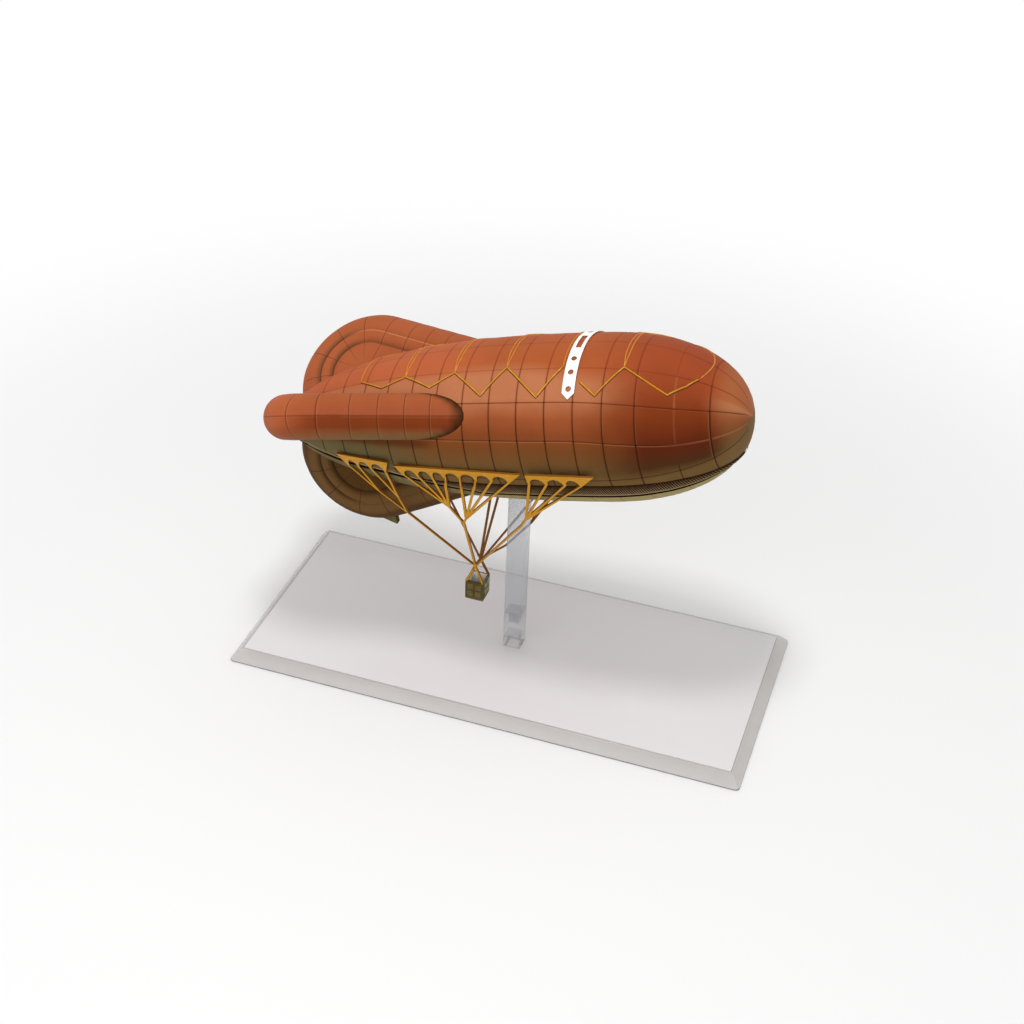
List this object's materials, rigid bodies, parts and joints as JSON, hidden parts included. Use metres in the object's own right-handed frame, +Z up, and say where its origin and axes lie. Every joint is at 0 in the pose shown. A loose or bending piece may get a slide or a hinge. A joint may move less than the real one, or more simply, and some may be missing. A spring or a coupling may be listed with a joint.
{
  "type": "model observation balloon",
  "caption": "Streamlined observation balloon with three inflated tail lobes, rigging webs and a hanging basket, on a peg in a bevelled display plate.",
  "frame": {"origin": "centre of the display plate's underside", "axes": "+X towards the balloon's nose, +Y towards its left side, +Z up"},
  "size_m": [0.198, 0.0886, 0.146],
  "materials": {
    "clear_plastic": "gloss",
    "printed_card": "matte",
    "envelope_paint": "satin",
    "belly_paint": "satin",
    "lobe_paint": "satin",
    "white_paint": "satin",
    "gold_paint": "satin",
    "basket_paint": "matte"
  },
  "bodies": {
    "stand": {"base_plate": "clear_plastic", "base_card": "printed_card", "foot_peg": "clear_plastic"},
    "short_peg_body": {"short_peg": "clear_plastic"},
    "tall_peg_body": {"tall_peg": "clear_plastic"},
    "balloon": {"upper_shell": "envelope_paint", "belly_shell": "belly_paint", "stand_socket": "clear_plastic", "right_lobe": "lobe_paint", "left_lobe": "lobe_paint", "rudder_lobe": "lobe_paint", "air_scoop": "belly_paint", "rip_strip": "white_paint", "right_lacing": "belly_paint", "left_lacing": "belly_paint", "right_girdle": "gold_paint", "left_girdle": "gold_paint", "top_girdle": "gold_paint", "right_aft_web": "gold_paint", "right_mid_web": "gold_paint", "right_fore_web": "gold_paint", "left_aft_web": "gold_paint", "left_mid_web": "gold_paint", "left_fore_web": "gold_paint", "right_knot": "gold_paint", "left_knot": "gold_paint", "right_slings": "gold_paint", "left_slings": "gold_paint", "basket_floor": "basket_paint", "basket_right_wall": "basket_paint", "basket_left_wall": "basket_paint", "basket_fore_wall": "basket_paint", "basket_aft_wall": "basket_paint"}
  },
  "joints": [
    {"name": "short_peg_lift", "type": "slide", "parent": "stand", "child": "short_peg_body", "axis": [0, 0, 1], "range_m": [0, 0.008]},
    {"name": "tall_peg_lift", "type": "slide", "parent": "short_peg_body", "child": "tall_peg_body", "axis": [0, 0, 1], "range_m": [0, 0.008]},
    {"name": "balloon_lift", "type": "slide", "parent": "tall_peg_body", "child": "balloon", "axis": [0, 0, 1], "range_m": [0, 0.008]}
  ]
}
